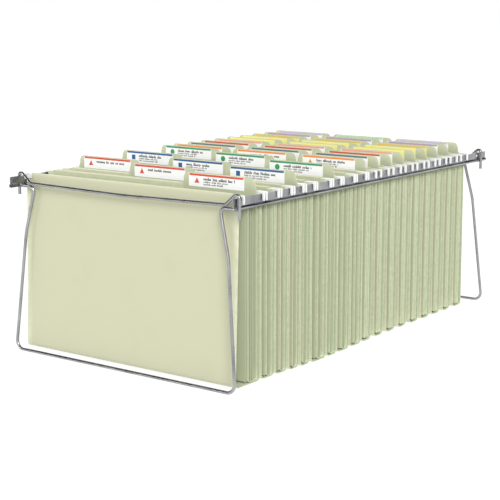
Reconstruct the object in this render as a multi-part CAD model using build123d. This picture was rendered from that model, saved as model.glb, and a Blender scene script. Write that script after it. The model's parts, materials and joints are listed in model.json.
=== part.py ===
from build123d import *
from math import cos, pi
import os

# Legal-size hanging file rack: a wire and strip frame that stands on a floor or in a drawer,
# with hanging folders on its two rails and tabbed file folders standing in them.
# X is the width, Y is the length (the front end is at -Y), Z is up, and the floor is Z = 0.

os.makedirs("parts", exist_ok=True)

# Frame
RAIL_SPACING = 381.0       # between the middles of the two rail webs
RAIL_LENGTH = 686.0        # each side rail, end to end
RAIL_STAGGER = 6.0         # left rail sits this far forward, right rail this far back
RAIL_TOP = 250.2           # height of the edge that the folders hang on
RAIL_GAUGE = 1.2           # thickness of the rail strip
WEB_HEIGHT = 10.0          # flat upper part of the rail
BEAD_RADIUS = 2.6          # outer radius of the rolled lower edge
SLOT_LENGTH = 6.0          # slot in the web beside each end frame
SLOT_HEIGHT = 3.0
SLOT_DROP = 5.0            # middle of the slot below the rail's top edge
SLOT_OFFSET = 7.5          # middle of the slot from the end frame
END_SPAN = 656.0           # between the front and rear end frames
WIRE_DIAMETER = 4.4
WIRE_GAP = 0.05            # daylight where one wire or rail lies on another

# Crossbar: hooked over both rails, dipping between them
HOOK_TIP_DROP = 26.5       # tip of the hook below the rail's top edge
HOOK_RISE = 1.6            # under side of the hook above the rail's top edge
HOOK_BEND = 4.2
HOOK_INNER_X = 188.0       # where the hook turns down towards the middle
DIP_X = 172.5              # where the slope ends
DIP_DROP = 9.6             # crossbar below the rail's top edge at the slope's end
SAG = 2.8                  # extra drop in the middle of the crossbar
DIP_BEND = 8.0
SAG_BEND = 1500.0

# Leg wire: one piece, from one rail down, along the floor and up to the other
STUB_X = 163.5             # the stub runs inboard from the rail to here
STUB_BEND = 7.0
KNEE = (179.5, 172.0)      # (X, Z) where the leg stops leaning outward so much
KNEE_BEND = 90.0
FOOT_X = 196.5             # half the width of the bar on the floor
FOOT_SPLAY = 13.0          # how far the bar stands out beyond the stubs, along the length
FOOT_BEND = 12.0

# Hanging folders
SHEET_WIDTH = 374.6
SHEET_GAUGE = 0.5
SHEET_TOP = 254.5          # top of the hem that holds the rod
SHEET_BOTTOM = 4.0
DROOP = 3.0                # how much lower the most loaded folders hang
DROOP_MIDDLE = -120.0      # where along the rack they are
DROOP_REACH = 150.0        # folders further away than this don't droop
FIRST_LEAN = 8.0           # the first folder's front panel leans this far towards the end frame
HEM_THICKNESS = 2.6
HEM_DEPTH = 19.0
FIRST_ROD = 9.5            # first rod behind the front end frame
FRONT_PITCHES = (48.5, 32.8, 29.6, 27.3, 26.8, 39.5, 26.5, 34.5, 31.0)
FRONT_GAP = 6.0            # from one front folder's back rod to the next folder's front rod
REAR_FOLDERS = 9
REAR_PITCH = 35.2
REAR_GAP = 14.0

# Hanger rods: coated steel strips whose hooked ends ride on the rails
ROD_GAUGE = 1.0
ROD_BELOW = 4.5            # rod below and above the rail's top edge, inside the hem
ROD_ABOVE = 2.8
HOOK_SIZE = 3.0            # section of the coated hook
HOOK_SIDE_GAP = 0.9        # between the hook's leg and the outside of the rail web
HOOK_LEG = 9.0             # hook's leg below the rail's top edge
HOOK_REST_GAP = 0.1

# Tabbed file folders inside the hanging folders
FILE_WIDTH = 372.0
FILE_GAUGE = 0.45
BACK_LEAF_TOP = 252.5
FRONT_LEAF_TOP = 241.0
TAB_TOP = 270.0
TAB_SHOULDER = 7.0         # how far each side of the tab slopes in
TABS_PER_WIDTH = 3
FRONT_FILE_SHARE = 0.45    # front leaf to back leaf, of the distance between the two rods
REAR_FILE_DEPTH = FILE_GAUGE   # closed flat, leaf on leaf
REAR_FILE_PITCH = 4.4
FILE_CLEARANCE = 1.1       # between the last back leaf and the hem behind it
FILE_REST_GAP = 0.2        # above the hanging folder's floor

RAIL_X = RAIL_SPACING / 2
WIRE_RADIUS = WIRE_DIAMETER / 2
RAIL_OUTER_X = RAIL_X + RAIL_GAUGE / 2
HOOK_WIRE_X = RAIL_OUTER_X + HOOK_RISE / 2 + WIRE_RADIUS
HOOK_WIRE_Z = RAIL_TOP + HOOK_RISE + WIRE_RADIUS
CROSSBAR_Z = RAIL_TOP - DIP_DROP
STUB_Z = CROSSBAR_Z - WIRE_DIAMETER - WIRE_GAP


def block(x0, x1, y0, y1, z0, z1):
    return Pos((x0 + x1) / 2, (y0 + y1) / 2, (z0 + z1) / 2) * Box(x1 - x0, y1 - y0, z1 - z0)


def wire(points, bends):
    path = FilletPolyline(*points, radius=bends)
    start = Plane(path @ 0, z_dir=path % 0)
    return sweep(start * Circle(WIRE_RADIUS), path=path)


def mirrored(half):
    """A symmetric route, from its right-hand half and a middle that the half may include."""
    return half + [(-x, y, z) for x, y, z in reversed(half) if x > 0]


def rail(side):
    """side is 1 for the right rail and -1 for the left one."""
    middle = side * RAIL_STAGGER
    bead_z = RAIL_TOP - WEB_HEIGHT - BEAD_RADIUS
    bead_inner = BEAD_RADIUS - RAIL_GAUGE
    half = RAIL_GAUGE / 2
    web = Pos(0, RAIL_TOP - WEB_HEIGHT / 2) * Rectangle(RAIL_GAUGE, WEB_HEIGHT)
    ring = Circle(BEAD_RADIUS) - Circle(bead_inner)
    bead = Pos(0, bead_z) * (ring - Pos(-BEAD_RADIUS, 0) * Rectangle(2 * BEAD_RADIUS, 4 * BEAD_RADIUS))
    joint = Pos(0, RAIL_TOP - WEB_HEIGHT - half) * Rectangle(RAIL_GAUGE, RAIL_GAUGE)
    lip = Pos(-half / 2, bead_z - (BEAD_RADIUS + bead_inner) / 2) * Rectangle(half, RAIL_GAUGE)
    section = Plane.XZ * (web + joint + bead + lip)
    strip = Pos(RAIL_X, RAIL_LENGTH / 2, 0) * extrude(section, RAIL_LENGTH)
    for end in (-1, 1):
        frame_y = end * END_SPAN / 2 - middle
        notch_half = WIRE_RADIUS + 0.6
        strip -= block(RAIL_OUTER_X, RAIL_OUTER_X + BEAD_RADIUS, frame_y - notch_half,
                       frame_y + notch_half, bead_z - 2 * BEAD_RADIUS, bead_z + BEAD_RADIUS)
        slot = extrude(Plane.YZ * SlotOverall(SLOT_LENGTH, SLOT_HEIGHT), RAIL_GAUGE, both=True)
        strip -= Pos(RAIL_X, frame_y - end * SLOT_OFFSET, RAIL_TOP - SLOT_DROP) * slot
    if side < 0:
        strip = mirror(strip, Plane.YZ)
    return Pos(0, middle, 0) * strip


def crossbar(y):
    half = [
        (HOOK_WIRE_X, y, RAIL_TOP - HOOK_TIP_DROP),
        (HOOK_WIRE_X, y, HOOK_WIRE_Z),
        (HOOK_INNER_X, y, HOOK_WIRE_Z),
        (DIP_X, y, CROSSBAR_Z),
        (0, y, CROSSBAR_Z - SAG),
    ]
    bends = [HOOK_BEND, HOOK_BEND, DIP_BEND]
    return wire(mirrored(half), bends + [SAG_BEND] + bends[::-1])


def leg_wire(end):
    """The bar on the floor stands out beyond the stubs; end is -1 at the front and 1 at the rear."""
    lean = FOOT_SPLAY / (STUB_Z - WIRE_RADIUS)
    outline = [
        (RAIL_X - RAIL_GAUGE / 2 - WIRE_GAP, STUB_Z),
        (STUB_X, STUB_Z),
        KNEE,
        (FOOT_X, WIRE_RADIUS),
    ]
    half = [(x, end * (END_SPAN / 2 + lean * (STUB_Z - z)), z) for x, z in outline]
    bends = [STUB_BEND, KNEE_BEND, FOOT_BEND]
    return wire(mirrored(half), bends + bends[::-1])


def folder_places():
    """(front rod, back rod) of each hanging folder along Y, front to back."""
    places = []
    front_rod = -END_SPAN / 2 + FIRST_ROD
    for pitch in FRONT_PITCHES:
        places.append((front_rod, front_rod + pitch - FRONT_GAP))
        front_rod += pitch
    for _ in range(REAR_FOLDERS):
        places.append((front_rod, front_rod + REAR_PITCH - REAR_GAP))
        front_rod += REAR_PITCH
    return places


def sheet_bottom(front_rod, back_rod):
    """Height of a folder's lowest fold: the loaded folders hang a little lower."""
    away = min(1.0, abs((front_rod + back_rod) / 2 - DROOP_MIDDLE) / DROOP_REACH)
    return SHEET_BOTTOM - DROOP * (1 + cos(pi * away)) / 2


def sheet(front_rod, back_rod, lean):
    """One U-shaped sheet, with a hem folded inward over the rod at the top of each panel."""
    half_width = SHEET_WIDTH / 2
    half_hem = HEM_THICKNESS / 2
    bottom = sheet_bottom(front_rod, back_rod)
    front = front_rod - half_hem
    back = back_rod + half_hem
    hem_bottom = SHEET_TOP - HEM_DEPTH
    profile = Polyline(
        (front, hem_bottom), (front - lean, bottom), (back, bottom), (back, hem_bottom),
        (back - SHEET_GAUGE, hem_bottom), (back - SHEET_GAUGE, bottom + SHEET_GAUGE),
        (front - lean + SHEET_GAUGE, bottom + SHEET_GAUGE), (front + SHEET_GAUGE, hem_bottom),
        close=True,
    )
    body = extrude(Plane.YZ * make_face(profile), half_width, both=True)
    for rod, outer in ((front_rod, front), (back_rod, back)):
        inward = 1 if rod == front_rod else -1
        inner = outer + inward * HEM_THICKNESS
        skin = sorted((outer, outer + inward * SHEET_GAUGE))
        flap = sorted((inner, inner - inward * SHEET_GAUGE))
        hem = sorted((outer, inner))
        body += block(-half_width, half_width, *skin, hem_bottom, SHEET_TOP)
        body += block(-half_width, half_width, *hem, SHEET_TOP - SHEET_GAUGE, SHEET_TOP)
        body += block(-half_width, half_width, *flap, hem_bottom, SHEET_TOP)
    return body


def hanger(rod):
    """One strip with a coated hook at each end, resting on both rails."""
    half_width = SHEET_WIDTH / 2
    half_rod = ROD_GAUGE / 2
    half_hook = HOOK_SIZE / 2
    leg_inner = RAIL_OUTER_X + HOOK_SIDE_GAP
    leg_outer = leg_inner + HOOK_SIZE
    arm_z = RAIL_TOP + HOOK_REST_GAP
    body = block(-half_width, half_width, rod - half_rod, rod + half_rod,
                 RAIL_TOP - ROD_BELOW, RAIL_TOP + ROD_ABOVE)
    for side in (-1, 1):
        arm = sorted((side * half_width, side * leg_outer))
        leg = sorted((side * leg_inner, side * leg_outer))
        body += block(*arm, rod - half_hook, rod + half_hook, arm_z, arm_z + HOOK_SIZE)
        body += block(*leg, rod - half_hook, rod + half_hook, RAIL_TOP - HOOK_LEG, arm_z + HOOK_SIZE)
    return body


def leaf_outline(tab, floor):
    """Back leaf seen from the front; tab is 0 for the right third, 1 for the middle, 2 for the left."""
    half_width = FILE_WIDTH / 2
    tab_width = FILE_WIDTH / TABS_PER_WIDTH
    tab_right = half_width - tab * tab_width
    tab_left = tab_right - tab_width
    points = [(-half_width, floor), (half_width, floor), (half_width, BACK_LEAF_TOP)]
    if tab > 0:
        points.append((tab_right, BACK_LEAF_TOP))
    points.append((tab_right - TAB_SHOULDER, TAB_TOP))
    points.append((tab_left + TAB_SHOULDER, TAB_TOP))
    points.append((tab_left, BACK_LEAF_TOP))
    if tab < TABS_PER_WIDTH - 1:
        points.append((-half_width, BACK_LEAF_TOP))
    return Polyline(*points, close=True)


def file_folder(back_leaf, depth, tab, floor):
    """A folded card: a back leaf with a tab, a lower front leaf and the fold between them."""
    half_width = FILE_WIDTH / 2
    leaf = extrude(Plane.XZ * make_face(leaf_outline(tab, floor)), FILE_GAUGE)
    front = back_leaf - depth
    body = Pos(0, back_leaf, 0) * leaf
    body += block(-half_width, half_width, front - FILE_GAUGE, front, floor, FRONT_LEAF_TOP)
    body += block(-half_width, half_width, front - FILE_GAUGE, back_leaf, floor, floor + FILE_GAUGE)
    return body


def file_folders(number, front_rod, back_rod):
    """The file folders in one hanging folder: one in a front folder, three in a rear one."""
    last_leaf = back_rod - HEM_THICKNESS / 2 - FILE_CLEARANCE
    floor = sheet_bottom(front_rod, back_rod) + SHEET_GAUGE + FILE_REST_GAP
    if number < len(FRONT_PITCHES):
        depth = FRONT_FILE_SHARE * (back_rod - front_rod)
        return [file_folder(last_leaf, depth, number % TABS_PER_WIDTH, floor)]
    leaves = [last_leaf - (TABS_PER_WIDTH - 1 - tab) * REAR_FILE_PITCH for tab in range(TABS_PER_WIDTH)]
    return [file_folder(leaf, REAR_FILE_DEPTH, tab, floor) for tab, leaf in enumerate(leaves)]


def write(name, *solids):
    shape = solids[0] if len(solids) == 1 else Compound(children=list(solids))
    export_step(shape, f"parts/{name}.step")


write("rail_right", rail(1))
write("rail_left", rail(-1))
for end_name, end in (("front", -1), ("rear", 1)):
    write(f"{end_name}_crossbar", crossbar(end * END_SPAN / 2))
    write(f"{end_name}_leg_wire", leg_wire(end))
for number, (front_rod, back_rod) in enumerate(folder_places()):
    files = file_folders(number, front_rod, back_rod)
    file_name = "file_folder" if len(files) == 1 else "file_folders"
    lean = FIRST_LEAN if number == 0 else 0
    write(f"hanging_folder_{number + 1:02d}", sheet(front_rod, back_rod, lean))
    write(f"hanger_rods_{number + 1:02d}", hanger(front_rod), hanger(back_rod))
    write(f"{file_name}_{number + 1:02d}", *files)
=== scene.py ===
import json
import math
import random

import bmesh
import bpy
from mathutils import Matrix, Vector

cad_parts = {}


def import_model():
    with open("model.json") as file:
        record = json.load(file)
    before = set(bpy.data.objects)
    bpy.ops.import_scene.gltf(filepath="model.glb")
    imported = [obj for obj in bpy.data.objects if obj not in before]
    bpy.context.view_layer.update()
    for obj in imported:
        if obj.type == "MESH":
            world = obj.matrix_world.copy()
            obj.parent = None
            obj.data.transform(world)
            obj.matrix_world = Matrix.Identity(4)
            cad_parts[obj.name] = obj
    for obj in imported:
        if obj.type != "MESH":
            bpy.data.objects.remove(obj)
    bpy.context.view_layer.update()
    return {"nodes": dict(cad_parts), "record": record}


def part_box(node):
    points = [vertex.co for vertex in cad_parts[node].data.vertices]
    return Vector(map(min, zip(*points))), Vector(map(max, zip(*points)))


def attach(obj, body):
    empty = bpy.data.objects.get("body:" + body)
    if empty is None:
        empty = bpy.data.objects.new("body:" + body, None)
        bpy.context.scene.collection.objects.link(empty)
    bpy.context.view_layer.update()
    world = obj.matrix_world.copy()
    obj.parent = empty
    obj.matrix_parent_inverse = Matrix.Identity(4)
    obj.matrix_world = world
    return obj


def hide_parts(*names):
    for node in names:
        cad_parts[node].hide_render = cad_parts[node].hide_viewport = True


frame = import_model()

# Everything is in metres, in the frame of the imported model: X across, Y along, Z up.
MM = 0.001

# Hanging folder card
SHEET_GAUGE = 0.5 * MM
HEM_DEPTH = 19 * MM            # the flap folded over the rod
NOTCH_LENGTH = 10 * MM         # the hem is cut back this far at each end
NOTCH_DEPTH = 9.5 * MM
HEM_THICKNESS = 2.6 * MM
SCORE_LINES = (14 * MM, 22 * MM, 30 * MM)   # pressed creases above the bottom fold
SCORE_DEPTH = 0.22 * MM
SCORE_WIDTH = 0.9 * MM
SLOT_WIDTH = 7 * MM            # slots for plastic tabs, through the back hem
SLOT_SPACING = 44 * MM
SLOT_COUNT = 7
SLOTS = [(k - (SLOT_COUNT - 1) / 2) * SLOT_SPACING for k in range(SLOT_COUNT)]
SLOT_TOP = 4.5 * MM            # below the hem's top
SLOT_HEIGHT = 1.6 * MM
FOLD_CORNER = 6 * MM           # rounding of the bottom folds
FRONT_BULGE = 0.6 * MM         # how far a panel stands out, in the folders with one file
REAR_BULGE = 2.2 * MM          # and in the ones with a set of files
END_BULGE = 3.0 * MM           # how far the foot of the last panel leans back
WAVE = 0.25 * MM               # of a panel's ripples
EDGE_PLAY = 0.7 * MM           # how unevenly the cards' side edges line up
PANEL_COLUMN = 14 * MM         # longest step between mesh columns
PANEL_ROW = 9 * MM
PANEL_START = 6 * MM           # the rows of a panel start this far under the hem

# How far wear reaches into the card
SIDE_WEAR = 3 * MM
TOP_WEAR = 2 * MM
FOLD_WEAR = 4 * MM

# File folders
FILE_GAUGE = 0.45 * MM
FILE_DEPTH_REAR = 1.4 * MM
FILE_PITCH_REAR = 4.4 * MM
BACK_LEAF_TOP = 252.5 * MM
FRONT_LEAF_TOP = 241 * MM
FILE_FOLD = 3.5 * MM           # largest rounding of the bottom fold
FILE_COLUMN = 12 * MM          # longest step between mesh columns
COLUMN_GAP = 0.25 * MM         # columns closer together than this are joined
FILE_ROWS = 16
FILE_SWAY = 0.3 * MM
SINGLE_RAISE = 0.7 * MM        # the fold stands this far above the low side of the CAD part
SET_RAISE = 2.8 * MM
TAB_SIDE = 12 * MM             # width of the tab's rounded side
TAB_FOOT = 3 * MM              # width of the small curve at its foot
TAB_FOOT_SHARE = 0.34          # of the tab's height, taken up by that curve
TAB_ROUNDNESS = 2.3
TABS = 3

# Plain sheets in the front file folders
SHEET_SHARES = (0.36, 0.68)    # of the file folder's depth, from its back leaf
POCKET_SHEET_GAP = 3.2 * MM    # the sheet in front of the file folder stands this far from it
SHEET_RAISE = 1.6 * MM
SHEET_ROW = 16 * MM
SHEET_WAVE = 0.5 * MM

# Labels
LABEL_WIDTH = 91 * MM
LABEL_HEIGHT = 16.9 * MM
LABEL_GAUGE = 0.12 * MM
LABEL_DROP = 1.2 * MM          # below the tab's top
LABEL_SHIFT = 4.5 * MM         # to the left of the tab's middle
LABEL_CORNER = 0.9 * MM
LABEL_GAP = 0.02 * MM          # between the paper and the tab
INK_GAUGE = 0.05 * MM
INK_OVERLAP = 0.02 * MM        # how far the ink sinks into the paper
BAR_SHARE = 0.17               # of the label's height
BAR_INSET = 0.15 * MM          # from the label's top
MARK_DROP = 0.52               # of the label's height
MARK_PLACE = 0.15              # of the label's width
MARK_SIZE = 4.1 * MM
TEXT_START = 0.27              # of the label's width
SHORT_LABELS = ("02", "03")    # these carry only the first line
# Lines of dashes: (drop and height as shares of the label's height, length as a share of its width)
TEXT_LINES = ((0.24, 0.24, 0.60), (0.52, 0.15, 0.46), (0.71, 0.15, 0.42))
BOLD_HEIGHT = 0.15             # lines taller than this are bold
BOLD_STROKE = 1.25 * MM
FINE_STROKE = 0.75 * MM

# Hanger hooks
HOOK_SIZE = 3 * MM
HOOK_GAUGE = 2.3 * MM          # thickness along the rack
HOOK_INNER = 11 * MM           # the coating starts this far inside the card's end
HOOK_TIP = 1.3 * MM            # width of the tapered tip
HOOK_BEVEL = 0.45 * MM
STRIP_GAUGE = 1.0 * MM         # the bare strip inside the hem
STRIP_ABOVE = 2.8 * MM         # above the rail's top
STRIP_BELOW = 4.5 * MM         # below the rail's top

# Weld beads
BAR_WELD_X = 169 * MM
BAR_WELD_SIZE = (4.2 * MM, 1.5 * MM, 1.0 * MM)
RAIL_WELD_SIZE = (0.9 * MM, 2.6 * MM, 2.4 * MM)
RAIL_WELD_INSET = 0.4 * MM     # from the rail's inner face
RAIL_WELD_DROP = 1.2 * MM      # below the top of the leg wire

# Floor, light and camera
FLOOR_HALF = 30.0
FLOOR_DARK = 0.15
FLOOR_PALE = 0.17
FLOOR_GLOW = 0.90              # the floor's own light, which keeps it evenly white
SURROUND = 0.70                # grey of the surround that lights the card

# Shiny metal sees more light towards one side and less towards another. A range holds two
# cosines of the angle to that side, and the greys that are seen at them.
BRIGHT_SIDE = (0.20, -0.55, -0.81)
BRIGHT_RANGE = (-0.35, 0.45, 0.05, 0.9)
DARK_SIDE = (-0.80, -0.59, 0.0)
DARK_RANGE = (0.35, 0.85, 1.0, 0.15)

SUNS = (                       # name, direction, power, angle in degrees
    ("main_light", (0.62, -0.55, 0.56), 2.45, 30),
    ("edge_light", (-0.48, -0.86, 0.16), 0.35, 8),
    ("fill_light", (-0.55, 0.70, 0.45), 1.3, 60),
)
CAMERA_PLACE = (1.1667, -1.6224, 0.4846)
CAMERA_PITCH = 10.46           # degrees down
CAMERA_YAW = 36.456            # degrees to the left of +Y
CAMERA_LENS = 95.07            # millimetres, like the sensor's width
CAMERA_SENSOR = 36.0
CAMERA_REACH = 100.0

record_bodies = frame["record"]["behaviour"]["bodies"]
random.seed(18)


def number_of(node):
    """The two digits at the end of a CAD node's name."""
    return node.rsplit("_", 1)[1]


sheet_nodes = sorted(n for n in frame["nodes"] if n.startswith("hanging_folder_"))
rod_nodes = sorted(n for n in frame["nodes"] if n.startswith("hanger_rods_"))
file_nodes = sorted((n for n in frame["nodes"] if n.startswith("file_folder")), key=number_of)
single_files = [n for n in file_nodes if n.startswith("file_folder_")]


def body_of(node):
    """The record's body that a CAD node belongs to."""
    return next(b for b, members in record_bodies.items() if node in members)


# ---------------------------------------------------------------- materials

def new_material(name):
    material = bpy.data.materials.new(name)
    material.use_nodes = True
    tree = material.node_tree
    shader = tree.nodes["Principled BSDF"]
    place = tree.nodes.new("ShaderNodeTexCoord")
    return material, tree, shader, place


def noise(tree, place, scale, detail=2.0, stretch=None):
    """A noise in the object's own space; stretch makes it finer along X, Y and Z by these factors."""
    texture = tree.nodes.new("ShaderNodeTexNoise")
    texture.inputs["Scale"].default_value = scale
    texture.inputs["Detail"].default_value = detail
    if stretch:
        mapping = tree.nodes.new("ShaderNodeMapping")
        mapping.inputs["Scale"].default_value = stretch
        tree.links.new(place.outputs["Object"], mapping.inputs["Vector"])
        tree.links.new(mapping.outputs["Vector"], texture.inputs["Vector"])
    else:
        tree.links.new(place.outputs["Object"], texture.inputs["Vector"])
    return texture.outputs["Fac"]


def between(tree, value, low, high):
    """Maps a noise, which stays near 0.5, to a range."""
    node = tree.nodes.new("ShaderNodeMapRange")
    node.inputs["From Min"].default_value = 0.3
    node.inputs["From Max"].default_value = 0.7
    node.inputs["To Min"].default_value = low
    node.inputs["To Max"].default_value = high
    tree.links.new(value, node.inputs["Value"])
    return node.outputs["Result"]


def mix(tree, factor, first, second):
    """Blends two colours; each input is a value or another node's output."""
    node = tree.nodes.new("ShaderNodeMix")
    node.data_type = "RGBA"
    for socket, value in ((0, factor), (6, first), (7, second)):
        if isinstance(value, bpy.types.NodeSocket):
            tree.links.new(value, node.inputs[socket])
        elif socket:
            node.inputs[socket].default_value = (*value, 1)
        else:
            node.inputs[socket].default_value = value
    return node.outputs[2]


def bump(tree, shader, height, strength, distance):
    """Gives a shader's surface a relief from a noise."""
    node = tree.nodes.new("ShaderNodeBump")
    node.inputs["Strength"].default_value = strength
    node.inputs["Distance"].default_value = distance
    tree.links.new(height, node.inputs["Height"])
    tree.links.new(node.outputs["Normal"], shader.inputs["Normal"])


def add(tree, first, second, weight):
    """The first value plus the second one times a weight."""
    node = tree.nodes.new("ShaderNodeMath")
    node.operation = "MULTIPLY_ADD"
    node.inputs[1].default_value = weight
    tree.links.new(second, node.inputs[0])
    tree.links.new(first, node.inputs[2])
    return node.outputs[0]


def zinc(name, grain, dull, bright):
    """Bright zinc plating with a cloudy tone; grain is the fineness of its surface along X, Y and Z."""
    material, tree, shader, place = new_material(name)
    shader.inputs["Metallic"].default_value = 1.0
    cloud = noise(tree, place, 35, 4)
    lines = noise(tree, place, 1, 3, grain)
    tone = mix(tree, between(tree, cloud, 0, 1), dull, bright)
    tree.links.new(tone, shader.inputs["Base Color"])
    rough = between(tree, add(tree, cloud, lines, 0.6), 0.14, 0.28)
    tree.links.new(rough, shader.inputs["Roughness"])
    bump(tree, shader, lines, 0.25, 0.0001)
    return material


def card(name, pale, deep, worn):
    """Paper card: short fibres, soft mottling, and paler wear along the cut edges and folds."""
    material, tree, shader, place = new_material(name)
    shader.inputs["Roughness"].default_value = 0.85
    shader.inputs["Specular IOR Level"].default_value = 0.25
    shader.inputs["Sheen Weight"].default_value = 0.08
    fibres = noise(tree, place, 1, 5, (300, 300, 900))
    mottle = noise(tree, place, 22, 3)
    blend = add(tree, mottle, fibres, 0.5)
    tone = mix(tree, between(tree, blend, 0, 1), deep, pale)
    wear = tree.nodes.new("ShaderNodeAttribute")
    wear.attribute_name = "wear"
    scuff = tree.nodes.new("ShaderNodeMath")
    scuff.operation = "MULTIPLY"
    tree.links.new(wear.outputs["Fac"], scuff.inputs[0])
    tree.links.new(between(tree, noise(tree, place, 160, 4), 0.5, 1), scuff.inputs[1])
    tree.links.new(mix(tree, scuff.outputs[0], tone, worn), shader.inputs["Base Color"])
    bump(tree, shader, fibres, 0.12, 0.0001)
    return material


def coating(name, colour):
    """Dipped white coating: glossy, with slight runs."""
    material, tree, shader, place = new_material(name)
    runs = noise(tree, place, 220, 3)
    shade = tuple(0.93 * c for c in colour)
    tree.links.new(mix(tree, between(tree, runs, 0, 1), colour, shade), shader.inputs["Base Color"])
    tree.links.new(between(tree, runs, 0.28, 0.42), shader.inputs["Roughness"])
    bump(tree, shader, runs, 0.1, 0.0002)
    return material


def print_ink(name, colour):
    """Printed paper: the ink covers unevenly, and the sheet is smooth."""
    material, tree, shader, place = new_material(name)
    shader.inputs["Roughness"].default_value = 0.6
    shader.inputs["Specular IOR Level"].default_value = 0.3
    grain = noise(tree, place, 700, 4)
    thin = tuple(c + 0.06 * (1 - c) for c in colour)
    tree.links.new(mix(tree, between(tree, grain, 0, 1), colour, thin), shader.inputs["Base Color"])
    bump(tree, shader, grain, 0.05, 0.00005)
    return material


EVEN_GRAIN = (600, 600, 600)
ROLLED_GRAIN = (1500, 25, 1500)     # lines along Y
WIRE_STEEL = zinc("wire_steel", EVEN_GRAIN, (0.27, 0.275, 0.29), (0.44, 0.445, 0.46))
RAIL_STEEL = zinc("rail_steel", ROLLED_GRAIN, (0.24, 0.245, 0.26), (0.42, 0.425, 0.44))
OUTER_CARD = card("folder_card_outside", (0.488, 0.493, 0.344), (0.461, 0.467, 0.321), (0.72, 0.74, 0.54))
# Painted shade: the inside card is a deeper green than the outside and stands in for the shade in the gaps
# between the folders.
INNER_CARD_PAINTED_SHADE = card("folder_card_inside_painted_shade", (0.39, 0.47, 0.31), (0.345, 0.43, 0.275), (0.60, 0.66, 0.47))
FILE_CARD = card("file_card", (0.475, 0.505, 0.345), (0.44, 0.47, 0.315), (0.70, 0.74, 0.53))
COATING = coating("hook_coating_white", (0.82, 0.82, 0.81))
LABEL_PAPER = print_ink("label_paper", (0.95, 0.95, 0.96))
TEXT_INK = print_ink("text_ink", (0.03, 0.03, 0.035))

INK_COLOURS = {
    "red": (0.68, 0.065, 0.03),
    "blue": (0.01, 0.10, 0.32),
    "green": (0.02, 0.29, 0.12),
    "orange": (0.86, 0.25, 0.04),
    "slate": (0.10, 0.17, 0.18),
    "rust": (0.55, 0.09, 0.02),
    "salmon": (0.80, 0.34, 0.25),
    "yellow": (0.88, 0.82, 0.28),
    "ochre": (0.72, 0.50, 0.12),
    "mauve": (0.42, 0.30, 0.46),
    "lavender": (0.55, 0.47, 0.66),
    "mint": (0.45, 0.66, 0.42),
}
INKS = {name: print_ink(f"ink_{name}", colour) for name, colour in INK_COLOURS.items()}
FRONT_COLOURS = ("red", "blue", "green")
YELLOW_PAPER = ("yellow", "ochre")  # the labels of these colours are on yellow paper
REAR_COLOURS = ("orange", "slate", "rust", "salmon", "yellow", "yellow", "ochre", "mauve", "lavender")


# ---------------------------------------------------------------- mesh helpers

def add_object(name, mesh, materials, body):
    """Puts a mesh in the scene as a piece that moves with a body of the record."""
    piece = bpy.data.objects.new(name, mesh)
    bpy.context.scene.collection.objects.link(piece)
    for material in materials:
        mesh.materials.append(material)
    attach(piece, body)
    return piece


OUTSIDE = 0
INSIDE = 1
CUT_EDGE = 2


class Sheets:
    """Thin closed sheets of card that are gathered into one mesh."""

    def __init__(self):
        self.verts = []
        self.wear = []      # of each vertex
        self.faces = []
        self.sides = []     # of each face: OUTSIDE, INSIDE or CUT_EDGE

    def add(self, rows, gauge, wear_of, holes=()):
        """Adds a sheet from a grid of middle points; holes are the cells (row, column) left out."""
        count_r, count_c = len(rows), len(rows[0])
        base = len(self.verts)
        half = gauge / 2
        for r in range(count_r):
            for c in range(count_c):
                along = rows[min(r + 1, count_r - 1)][c] - rows[max(r - 1, 0)][c]
                across = rows[r][min(c + 1, count_c - 1)] - rows[r][max(c - 1, 0)]
                normal = across.cross(along).normalized()
                self.verts.append(rows[r][c] + normal * half)
                self.verts.append(rows[r][c] - normal * half)
                self.wear += [wear_of(r, c)] * 2

        def at(r, c, back):
            return base + 2 * (r * count_c + c) + back

        def solid(r, c):
            return 0 <= r < count_r - 1 and 0 <= c < count_c - 1 and (r, c) not in holes

        for r in range(count_r - 1):
            for c in range(count_c - 1):
                if not solid(r, c):
                    continue
                corners = [(r, c), (r, c + 1), (r + 1, c + 1), (r + 1, c)]
                self.add_face([at(*k, 0) for k in corners], INSIDE)
                self.add_face([at(*k, 1) for k in reversed(corners)], OUTSIDE)
                beyond = ((r - 1, c), (r, c + 1), (r + 1, c), (r, c - 1))
                for edge, other in enumerate(beyond):
                    if not solid(*other):
                        first, second = corners[edge], corners[(edge + 1) % 4]
                        rim = [at(*second, 0), at(*first, 0), at(*first, 1), at(*second, 1)]
                        self.add_face(rim, CUT_EDGE)

    def add_face(self, corners, side):
        self.faces.append(corners)
        self.sides.append(side)

    def mesh(self, name, rim_material):
        """The mesh with crisp cut edges; its materials are the outside, the inside and any others."""
        mesh = bpy.data.meshes.new(name)
        mesh.from_pydata([tuple(v) for v in self.verts], [], self.faces)
        mesh.update()
        build = bmesh.new()
        build.from_mesh(mesh)
        layer = build.verts.layers.float.new("wear")
        for vert in build.verts:
            vert[layer] = self.wear[vert.index]
        for face in build.faces:
            side = self.sides[face.index]
            face.smooth = side != CUT_EDGE
            face.material_index = rim_material if side == CUT_EDGE else side
            if side == CUT_EDGE:
                for edge in face.edges:
                    edge.smooth = False
        loose = [v for v in build.verts if not v.link_faces]
        bmesh.ops.delete(build, geom=loose, context="VERTS")
        build.to_mesh(mesh)
        build.free()
        return mesh


def arc(centre, height, radius, start, stop, steps):
    """Points round a centre in an upright plane, with angles in degrees from its level axis towards +Z."""
    points = []
    for step in range(steps + 1):
        angle = math.radians(start + (stop - start) * step / steps)
        points.append((centre + radius * math.cos(angle), height + radius * math.sin(angle)))
    return points


def spaced(start, stop, longest):
    """Values from start up to but not including stop, evenly spaced by at most longest."""
    count = max(1, math.ceil(abs(stop - start) / longest))
    return [start + (stop - start) * k / count for k in range(count)]


# ---------------------------------------------------------------- hanging folders

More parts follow.
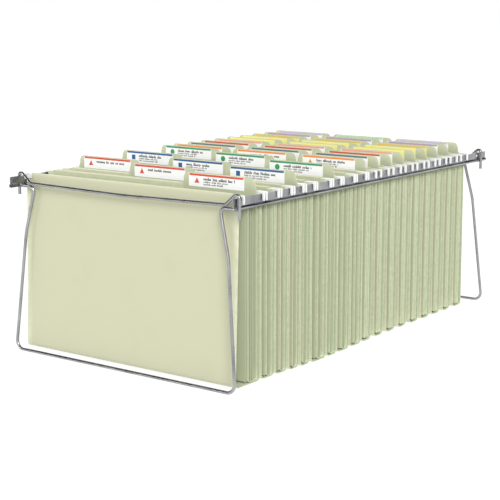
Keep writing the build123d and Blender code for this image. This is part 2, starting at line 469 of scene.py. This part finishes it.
def column_places(half_width):
    """X of each mesh column, with lines at the notches and at each slot's sides."""
    edge = half_width - NOTCH_LENGTH
    marks = {-half_width, -edge, edge, half_width}
    for slot in SLOTS:
        marks |= {slot - SLOT_WIDTH / 2, slot + SLOT_WIDTH / 2}
    marks = sorted(marks)
    places = []
    for left, right in zip(marks, marks[1:]):
        places += spaced(left, right, PANEL_COLUMN)
    return places + [half_width]


def rod_places(rod_node):
    """Y of the front and back rods, which lie in the middle of their hooks."""
    low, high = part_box(rod_node)
    return low.y + HOOK_SIZE / 2, high.y - HOOK_SIZE / 2


def hem_heights(top):
    """Heights of the hem's lower edge, of the notches, and of the slots' lower and upper edges."""
    slot_high = top - SLOT_TOP
    return top - HEM_DEPTH, top - NOTCH_DEPTH, slot_high - SLOT_HEIGHT, slot_high


def panel_profile(top, bottom, hem_radius):
    """One panel from the hem's inner edge, over the rod and down to the bottom fold.

    Its points are (distance outside the rod's plane, height).
    """
    hem_top = top - SHEET_GAUGE / 2 - hem_radius
    levels = sorted({*hem_heights(top), hem_top})
    inner = [(-hem_radius, z) for z in levels]
    over = [(-y, z) for y, z in arc(0, hem_top, hem_radius, 0, 180, 6)][1:-1]
    over.sort()
    outer = [(hem_radius, z) for z in reversed(levels)]
    fold_top = bottom + FOLD_CORNER
    panel = [(hem_radius, z) for z in spaced(top - HEM_DEPTH - PANEL_START, fold_top, PANEL_ROW)]
    fold = [(hem_radius - FOLD_CORNER + y, z) for y, z in arc(0, fold_top, FOLD_CORNER, 0, -80, 6)]
    return inner + over + outer + panel + fold


def cut_outs(heights, columns, top):
    """Grid cells that are cut away: the notches at the hems' ends and the slots in the back hem."""
    _, notch_z, slot_low, slot_high = hem_heights(top)
    edge = columns[-1] - NOTCH_LENGTH
    holes = set()
    for r in range(len(heights) - 1):
        mid_z = (heights[r] + heights[r + 1]) / 2
        for c in range(len(columns) - 1):
            mid_x = (columns[c] + columns[c + 1]) / 2
            if abs(mid_x) > edge and mid_z > notch_z:
                holes.add((r, c))
            on_slot = any(abs(mid_x - slot) < SLOT_WIDTH / 2 for slot in SLOTS)
            if r > len(heights) / 2 and on_slot and slot_low < mid_z < slot_high:
                holes.add((r, c))
    return holes


def hanging_folder(node, rod_node):
    """One hanging folder: a single card with a hem over each rod and a panel down to each bottom fold."""
    number = int(number_of(node))
    low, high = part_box(node)
    half_width = (high.x - low.x) / 2
    hem_radius = (HEM_THICKNESS - SHEET_GAUGE) / 2
    hem_bottom = high.z - HEM_DEPTH
    bottom = low.z + SHEET_GAUGE / 2
    front_rod, back_rod = rod_places(rod_node)
    columns = column_places(half_width)
    side = panel_profile(high.z, bottom, hem_radius)
    heights = [z for _, z in side] + [z for _, z in reversed(side)]
    score_heights = [bottom + s for s in SCORE_LINES]
    phase = [random.uniform(0, math.tau) for _ in range(6)]
    edge_shift = [random.uniform(-1, 1) * EDGE_PLAY for _ in range(2)]

    # The first folder's front panel and the last one's back panel lean out; the others bulge.
    lean = front_rod - HEM_THICKNESS / 2 - low.y
    bulge = FRONT_BULGE if number <= len(single_files) else REAR_BULGE
    leans = (lean > MM, number == len(sheet_nodes))
    most = (lean if leans[0] else bulge, END_BULGE if leans[1] else bulge)

    def offset(x, z, away):
        """How far the panel stands out of its plane at this height; away is 1 for the back panel."""
        drop = (hem_bottom - z) / (hem_bottom - bottom)
        if drop <= 0:
            return 0.0
        shape = drop if leans[away] else math.sin(math.pi * min(1, drop ** 0.8 * 0.97))
        ripple = math.sin(x / half_width * 2.3 + phase[away]) * math.sin(math.pi * drop)
        ripple += 0.6 * math.sin(x / half_width * 5.1 + phase[2 + away]) * drop * (1 - drop)
        crease = sum(math.exp(-((z - s) / SCORE_WIDTH) ** 2) for s in score_heights)
        return most[away] * shape + WAVE * ripple - SCORE_DEPTH * crease

    def at(x, y, z, outward, away):
        shift = offset(x, z, away) if y > -hem_radius / 2 or z < hem_bottom else 0.0
        rod = front_rod if outward < 0 else back_rod
        return Vector((x + edge_shift[away] * x / half_width, rod + outward * (y + shift), z))

    def wear_of(r, c):
        at_side = max(0.0, 1 - (half_width - abs(columns[c])) / SIDE_WEAR)
        at_top = max(0.0, 1 - (high.z - heights[r]) / TOP_WEAR)
        at_fold = max(0.0, 1 - (heights[r] - bottom) / FOLD_WEAR)
        return min(1.0, 0.8 * at_side + 0.6 * at_top + 0.6 * at_fold)

    rows = [[at(x, y, z, -1, 0) for x in columns] for y, z in side]
    rows += [[at(x, y, z, 1, 1) for x in columns] for y, z in reversed(side)]
    sheets = Sheets()
    sheets.add(rows, SHEET_GAUGE, wear_of, cut_outs(heights, columns, high.z))
    name = f"folder_sheet_{number:02d}"
    mesh = sheets.mesh(name, OUTSIDE)
    # The inside faces take the darker green card, which carries painted shade for the gaps between the
    # folders.
    piece = add_object(name, mesh, (OUTER_CARD, INNER_CARD_PAINTED_SHADE), body_of(node))
    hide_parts(node)


# ---------------------------------------------------------------- hanger rods

def extruded(build, outline, y0, y1, material):
    """Adds a closed prism to build from an outline in the XZ plane."""
    front = [build.verts.new((x, y0, z)) for x, z in outline]
    back = [build.verts.new((x, y1, z)) for x, z in outline]
    faces = [build.faces.new(front), build.faces.new(list(reversed(back)))]
    for k in range(len(outline)):
        n = (k + 1) % len(outline)
        faces.append(build.faces.new((front[n], front[k], back[k], back[n])))
    for face in faces:
        face.material_index = material


def block(build, across, along, up, material):
    """Adds a box to build; across, along and up are its (low, high) in X, Y and Z."""
    outline = [(across[0], up[0]), (across[1], up[0]), (across[1], up[1]), (across[0], up[1])]
    extruded(build, outline, *along, material)


def finish_mesh(build, name):
    """Turns build into a mesh with its faces outwards."""
    bmesh.ops.recalc_face_normals(build, faces=build.faces[:])
    mesh = bpy.data.meshes.new(name)
    build.to_mesh(mesh)
    build.free()
    return mesh


def hanger_rods(node, sheet_node):
    """The two strips of a hanging folder, with a white coated hook at each end."""
    low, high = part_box(node)
    sheet_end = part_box(sheet_node)[1].x
    rail_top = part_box("rail_right")[1].z
    reach = high.x
    leg_inner = reach - HOOK_SIZE
    arm_top = high.z
    arm_bottom = arm_top - HOOK_SIZE
    leg_tip = low.z
    strip_top = rail_top + STRIP_ABOVE
    strip_bottom = rail_top - STRIP_BELOW
    coat_start = sheet_end - HOOK_INNER
    build = bmesh.new()
    for rod in rod_places(node):
        half = STRIP_GAUGE / 2
        block(build, (-coat_start, coat_start), (rod - half, rod + half), (strip_bottom, strip_top), 1)
        for side in (-1, 1):
            outline = [
                (coat_start, strip_bottom + 0.3 * MM),
                (sheet_end - 1.5 * MM, strip_bottom + 0.3 * MM),
                (sheet_end + 1.0 * MM, arm_bottom),
                (leg_inner, arm_bottom),
                (leg_inner, leg_tip + 2.6 * MM),
                (reach - HOOK_TIP - 0.2 * MM, leg_tip + 0.3 * MM),
                (reach - 0.5 * HOOK_TIP, leg_tip),
                (reach, leg_tip + 1.6 * MM),
                (reach, arm_top - 1.4 * MM),
                (reach - 0.5 * MM, arm_top - 0.4 * MM),
                (reach - 1.6 * MM, arm_top),
                (coat_start + 2 * MM, arm_top),
                (coat_start, arm_top - 0.6 * MM),
            ]
            outline = [(side * x, z) for x, z in outline]
            extruded(build, outline, rod - HOOK_GAUGE / 2, rod + HOOK_GAUGE / 2, 0)
    name = f"hanger_hooks_{number_of(node)}"
    mesh = finish_mesh(build, name)
    piece = add_object(name, mesh, (COATING, WIRE_STEEL), body_of(node))
    bevel = piece.modifiers.new("rounded", "BEVEL")
    bevel.width = HOOK_BEVEL
    bevel.segments = 2
    bevel.limit_method = "ANGLE"
    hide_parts(node)


# ---------------------------------------------------------------- file folders

def tab_height(x, tab, half_width, base, top):
    """Height of the back leaf's edge at x; tab 0 is the right third, 1 the middle and 2 the left."""
    width = 2 * half_width / TABS
    right = half_width - tab * width
    inside = min(x - (right - width), right - x)
    if inside <= -TAB_FOOT:
        return base
    rise = top - base
    if inside < TAB_FOOT:
        foot = (inside + TAB_FOOT) / (2 * TAB_FOOT)
        return base + TAB_FOOT_SHARE * rise * foot ** 2.4
    share = min(1.0, (inside - TAB_FOOT) / (TAB_SIDE - TAB_FOOT))
    shoulder = (1 - (1 - share) ** TAB_ROUNDNESS) ** (1 / TAB_ROUNDNESS)
    return base + rise * (TAB_FOOT_SHARE + (1 - TAB_FOOT_SHARE) * shoulder)


def leaf_columns(tab, half_width):
    """X of each mesh column, close together where the tab's sides rise."""
    width = 2 * half_width / TABS
    right = half_width - tab * width
    places = {-half_width, half_width}
    places.update(spaced(-half_width, half_width, FILE_COLUMN))
    offsets = [TAB_FOOT * step / 4 for step in range(-4, 5)]
    offsets += [TAB_FOOT + (TAB_SIDE - TAB_FOOT) * (step / 12) ** 1.7 for step in range(1, 13)]
    for edge, inward in ((right, -1), (right - width, 1)):
        for offset in offsets:
            x = edge + inward * offset
            if abs(x) <= half_width:
                places.add(x)
    ordered = sorted(places)
    kept = [ordered[0]]
    for x in ordered[1:]:
        if x - kept[-1] > COLUMN_GAP:
            kept.append(x)
    kept[-1] = half_width
    return kept


def file_card(sheets, leaf_y, depth, tab, low, high, raised):
    """One folded file folder: the back leaf with its tab, the fold and the lower front leaf."""
    half_width = (high.x - low.x) / 2
    back = leaf_y - FILE_GAUGE / 2
    front = back - depth
    radius = min(depth / 2, FILE_FOLD)
    bottom = low.z + FILE_GAUGE / 2 + raised
    columns = leaf_columns(tab, half_width)
    fold = arc(front + radius, bottom + radius, radius, 180, 270, 5)
    fold += arc(back - radius, bottom + radius, radius, 270, 360, 5)
    phase = random.uniform(0, math.tau)
    side_shift = random.uniform(-1, 1) * EDGE_PLAY

    def sway(x, z):
        drop = max(0.0, (high.z - z) / (high.z - bottom))
        return FILE_SWAY * math.sin(x / half_width * 2.7 + phase) * math.sin(math.pi * drop)

    rows = []
    for k in range(FILE_ROWS):
        share = k / FILE_ROWS
        z = FRONT_LEAF_TOP + (bottom + radius - FRONT_LEAF_TOP) * share
        rows.append([Vector((x, front + sway(x, z), z)) for x in columns])
    for y, z in fold:
        rows.append([Vector((x, y, z)) for x in columns])
    start = bottom + radius
    for k in range(1, FILE_ROWS + 1):
        share = k / FILE_ROWS
        row = []
        for x in columns:
            top = tab_height(x, tab, half_width, BACK_LEAF_TOP, high.z)
            z = start + (top - start) * share
            row.append(Vector((x, back + sway(x, z), z)))
        rows.append(row)
    for row in rows:
        for point in row:
            point.x += side_shift * point.x / half_width

    def wear_of(r, c):
        x = columns[c]
        at_side = max(0.0, 1 - (half_width - abs(x)) / SIDE_WEAR)
        at_top = 1.0 if r in (0, len(rows) - 1) else 0.0
        at_fold = 0.5 if FILE_ROWS <= r < FILE_ROWS + len(fold) else 0.0
        return min(1.0, 0.7 * at_side + 0.5 * at_top + at_fold)

    sheets.add(rows, FILE_GAUGE, wear_of)


def inner_sheets(node):
    """Plain sheets standing in a front file folder, and one standing in front of it."""
    low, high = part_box(node)
    depth = high.y - low.y
    places = [high.y - depth * share for share in SHEET_SHARES]
    places.append(low.y - POCKET_SHEET_GAP)
    bottom = low.z + FILE_GAUGE + SHEET_RAISE
    sheets = Sheets()
    for rank, y in enumerate(places):
        half_width = high.x - random.uniform(0.4, 2.2) * MM
        top = FRONT_LEAF_TOP - random.uniform(2, 6) * MM
        phase = random.uniform(0, math.tau)
        columns = spaced(-half_width, half_width, FILE_COLUMN) + [half_width]
        levels = spaced(top, bottom, SHEET_ROW) + [bottom]
        rows = []
        for z in levels:
            bow = math.sin(math.pi * (top - z) / (top - bottom))
            sway = [SHEET_WAVE * bow * math.sin(2.3 * x / half_width + phase) for x in columns]
            rows.append([Vector((x, y + s, z)) for x, s in zip(columns, sway)])
        start = len(sheets.sides)
        sheets.add(rows, FILE_GAUGE, lambda r, c: 0.0)
        # Both faces of a sheet have one tone, which alternates from sheet to sheet between the plain file
        # card and the darker green card that carries painted shade of the gaps.
        tone = OUTSIDE if rank % 2 else INSIDE
        sheets.sides[start:] = [CUT_EDGE if side == CUT_EDGE else tone for side in sheets.sides[start:]]
    name = f"inner_sheets_{number_of(node)}"
    mesh = sheets.mesh(name, 2)
    add_object(name, mesh, (INNER_CARD_PAINTED_SHADE, FILE_CARD, OUTER_CARD), body_of(node))


def mark_outline(kind, x, z, size):
    """A generic index mark: triangle, square, disc or diamond."""
    if kind == 0:
        return [(x - size, z - 0.85 * size), (x + size, z - 0.85 * size), (x, z + size)]
    if kind == 1:
        side = 0.85 * size
        return [(x - side, z - side), (x + side, z - side), (x + side, z + side), (x - side, z + side)]
    if kind == 2:
        turns = [k * math.tau / 20 for k in range(20)]
        return [(x + size * math.cos(turn), z + size * math.sin(turn)) for turn in turns]
    return [(x - size, z), (x, z - size), (x + size, z), (x, z + size)]


def dashes(build, left, top, ink, share, height, length):
    """A line of strokes in groups like words, on a label with this left side and top."""
    x = left + TEXT_START * LABEL_WIDTH
    stop = x + length * LABEL_WIDTH * random.uniform(0.75, 1.0)
    z = top - (share + height) * LABEL_HEIGHT
    bold = height > BOLD_HEIGHT
    stroke = BOLD_STROKE if bold else FINE_STROKE
    strokes_left = random.randint(5, 9)
    while x < stop:
        rise = height * LABEL_HEIGHT * random.choice((0.62, 0.62, 0.66, 0.95))
        block(build, (x, x + stroke), ink, (z, z + rise), 2)
        if random.random() < 0.6:
            block(build, (x + stroke, x + 1.6 * stroke), ink, (z, z + 0.3 * rise), 2)
        x += stroke * (1.5 if bold else 1.8)
        strokes_left -= 1
        if strokes_left == 0:
            x += stroke * 1.8
            strokes_left = random.randint(3, 8)


def label(number, tab, leaf_y, low, high, colour, kind, body):
    """A printed paper label on the tab's front: a colour bar, an index mark and lines of dashes."""
    half_width = (high.x - low.x) / 2
    tab_width = 2 * half_width / TABS
    centre = half_width - (tab + 0.5) * tab_width - LABEL_SHIFT
    left = centre - LABEL_WIDTH / 2
    top = high.z - LABEL_DROP
    face = leaf_y - FILE_GAUGE - LABEL_GAP
    paper = face - LABEL_GAUGE
    ink = (paper - INK_GAUGE, paper + INK_OVERLAP)
    build = bmesh.new()
    near = left + LABEL_CORNER
    far = left + LABEL_WIDTH - LABEL_CORNER
    upper = top - LABEL_CORNER
    lower = top - LABEL_HEIGHT + LABEL_CORNER
    outline = []
    for turn, middle in enumerate(((far, upper), (near, upper), (near, lower), (far, lower))):
        outline += arc(*middle, LABEL_CORNER, 90 * turn, 90 * turn + 90, 3)
    extruded(build, outline, paper, face, 0)
    block(build, (near, far), ink, (top - BAR_SHARE * LABEL_HEIGHT, top - BAR_INSET), 1)
    mark_z = top - MARK_DROP * LABEL_HEIGHT
    mark = mark_outline(kind, left + MARK_PLACE * LABEL_WIDTH, mark_z, MARK_SIZE)
    extruded(build, mark, *ink, 1)
    for line in TEXT_LINES[:1] if number in SHORT_LABELS else TEXT_LINES:
        dashes(build, left, top, ink, *line)
    name = f"tab_label_{number}_{tab + 1}"
    mesh = finish_mesh(build, name)
    stock = INKS["yellow"] if colour in YELLOW_PAPER else LABEL_PAPER
    add_object(name, mesh, (stock, INKS[colour], TEXT_INK), body)


def file_set(node):
    """The file folders of one hanging folder, with their labels."""
    number = number_of(node)
    place = int(number) - 1
    low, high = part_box(node)
    body = body_of(node)
    sheets = Sheets()
    if node in single_files:
        tab = place % TABS
        leaves = [(tab, high.y)]
        depth = high.y - low.y - FILE_GAUGE
        raised = SINGLE_RAISE
        colour = FRONT_COLOURS[place // TABS]
        kind = place // TABS
    else:
        rank = place - len(single_files)
        leaves = [(tab, high.y - (TABS - 1 - tab) * FILE_PITCH_REAR) for tab in range(TABS)]
        depth = FILE_DEPTH_REAR
        raised = SET_RAISE
        colour = REAR_COLOURS[rank]
        kind = rank % 4
    for tab, leaf_y in leaves:
        file_card(sheets, leaf_y, depth, tab, low, high, raised)
        shade = "mint" if place == len(file_nodes) - 1 and tab == 1 else colour
        label(number, tab, leaf_y, low, high, shade, kind, body)
    name = f"file_cards_{number}"
    mesh = sheets.mesh(name, OUTSIDE)
    piece = add_object(name, mesh, (FILE_CARD, FILE_CARD), body)
    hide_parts(node)


# ---------------------------------------------------------------- frame details

def paint(node, material):
    """Gives a carried CAD node its material."""
    mesh = frame["nodes"][node].data
    mesh.materials.clear()
    mesh.materials.append(material)


def weld_bead(name, centre, size):
    """A small uneven bead of weld metal."""
    build = bmesh.new()
    bmesh.ops.create_icosphere(build, subdivisions=3, radius=1.0)
    for vert in build.verts:
        x, y, z = vert.co
        lump = 1 + 0.10 * math.sin(7 * x + 3 * z) + 0.07 * math.sin(9 * y - 4 * x)
        vert.co = Vector(centre) + Vector((x * size[0], y * size[1], z * size[2])) * lump
    for face in build.faces:
        face.smooth = True
    mesh = finish_mesh(build, name)
    add_object(name, mesh, (WIRE_STEEL,), "frame")


def frame_details():
    """Paints the CAD's rails and wires and adds the weld beads between them."""
    for node in ("rail_right", "rail_left"):
        paint(node, RAIL_STEEL)
    for end in ("front", "rear"):
        paint(f"{end}_crossbar", WIRE_STEEL)
        paint(f"{end}_leg_wire", WIRE_STEEL)
        bar_low, bar_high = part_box(f"{end}_crossbar")
        y = (bar_low.y + bar_high.y) / 2
        stub_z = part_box(f"{end}_leg_wire")[1].z
        for side, side_name in ((1, "right"), (-1, "left")):
            weld_bead(f"{end}_{side_name}_bar_weld", (side * BAR_WELD_X, y, stub_z), BAR_WELD_SIZE)
            rail_low, rail_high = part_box(f"rail_{side_name}")
            inner = min(abs(rail_low.x), abs(rail_high.x))
            place = (side * (inner - RAIL_WELD_INSET), y, stub_z - RAIL_WELD_DROP)
            weld_bead(f"{end}_{side_name}_rail_weld", place, RAIL_WELD_SIZE)


# ---------------------------------------------------------------- build

frame_details()
for sheet_node, rod_node, file_node in zip(sheet_nodes, rod_nodes, file_nodes):
    hanging_folder(sheet_node, rod_node)
    hanger_rods(rod_node, sheet_node)
    file_set(file_node)
for file_node in single_files:
    inner_sheets(file_node)


# ---------------------------------------------------------------- floor, light and camera

def floor():
    """A plain floor that stays white, so that it also hides where it ends."""
    mesh = bpy.data.meshes.new("floor")
    corners = [(x * FLOOR_HALF, y * FLOOR_HALF, 0) for x, y in ((-1, -1), (1, -1), (1, 1), (-1, 1))]
    mesh.from_pydata(corners, [], [(0, 1, 2, 3)])
    plane = bpy.data.objects.new("floor", mesh)
    bpy.context.scene.collection.objects.link(plane)
    material, tree, shader, place = new_material("floor_white")
    shader.inputs["Roughness"].default_value = 0.95
    shader.inputs["Specular IOR Level"].default_value = 0.0
    tone = mix(tree, between(tree, noise(tree, place, 3), 0, 1), (FLOOR_DARK,) * 3, (FLOOR_PALE,) * 3)
    tree.links.new(tone, shader.inputs["Base Color"])
    shader.inputs["Emission Color"].default_value = (1, 1, 1, 1)
    shader.inputs["Emission Strength"].default_value = FLOOR_GLOW
    mesh.materials.append(material)


def world():
    """White behind the rack and grey for the light on it; shiny metal sees dark overhead and at its left."""
    scene = bpy.context.scene
    scene.world = bpy.data.worlds.new("studio")
    scene.world.use_nodes = True
    tree = scene.world.node_tree
    back = tree.nodes["Background"]
    place = tree.nodes.new("ShaderNodeTexCoord")

    def toward(direction, low, high, first, last):
        """A grey that goes from first to last as the view turns towards a direction."""
        along = tree.nodes.new("ShaderNodeVectorMath")
        along.operation = "DOT_PRODUCT"
        along.inputs[1].default_value = direction
        tree.links.new(place.outputs["Generated"], along.inputs[0])
        spread = tree.nodes.new("ShaderNodeMapRange")
        spread.inputs["From Min"].default_value = low
        spread.inputs["From Max"].default_value = high
        spread.inputs["To Min"].default_value = first
        spread.inputs["To Max"].default_value = last
        tree.links.new(along.outputs["Value"], spread.inputs["Value"])
        return spread.outputs["Result"]

    bright = toward(BRIGHT_SIDE, *BRIGHT_RANGE)
    dark = toward(DARK_SIDE, *DARK_RANGE)
    metal_sees = tree.nodes.new("ShaderNodeMath")
    metal_sees.operation = "MULTIPLY"
    tree.links.new(bright, metal_sees.inputs[0])
    tree.links.new(dark, metal_sees.inputs[1])
    path = tree.nodes.new("ShaderNodeLightPath")
    spare = mix(tree, path.outputs["Is Camera Ray"], (SURROUND,) * 3, (1.0, 1.0, 1.0))
    shade = mix(tree, path.outputs["Is Glossy Ray"], spare, metal_sees.outputs[0])
    tree.links.new(shade, back.inputs["Color"])


def sun(name, side, power, angle):
    """A light from one side; the wider its angle in degrees, the softer its shadows."""
    data = bpy.data.lights.new(name, "SUN")
    data.energy = power
    data.angle = math.radians(angle)
    lamp = bpy.data.objects.new(name, data)
    bpy.context.scene.collection.objects.link(lamp)
    lamp.rotation_euler = Vector(side).to_track_quat("Z", "Y").to_euler()


def camera():
    data = bpy.data.cameras.new("camera")
    data.sensor_width = CAMERA_SENSOR
    data.lens = CAMERA_LENS
    data.clip_end = CAMERA_REACH
    camera_object = bpy.data.objects.new("camera", data)
    bpy.context.scene.collection.objects.link(camera_object)
    camera_object.location = CAMERA_PLACE
    camera_object.rotation_euler = (math.radians(90 - CAMERA_PITCH), 0, math.radians(CAMERA_YAW))
    bpy.context.scene.camera = camera_object


floor()
world()
for name, side, power, angle in SUNS:
    sun(name, side, power, angle)
camera()
bpy.context.scene.view_settings.view_transform = "Standard"
bpy.context.scene.view_settings.look = "None"
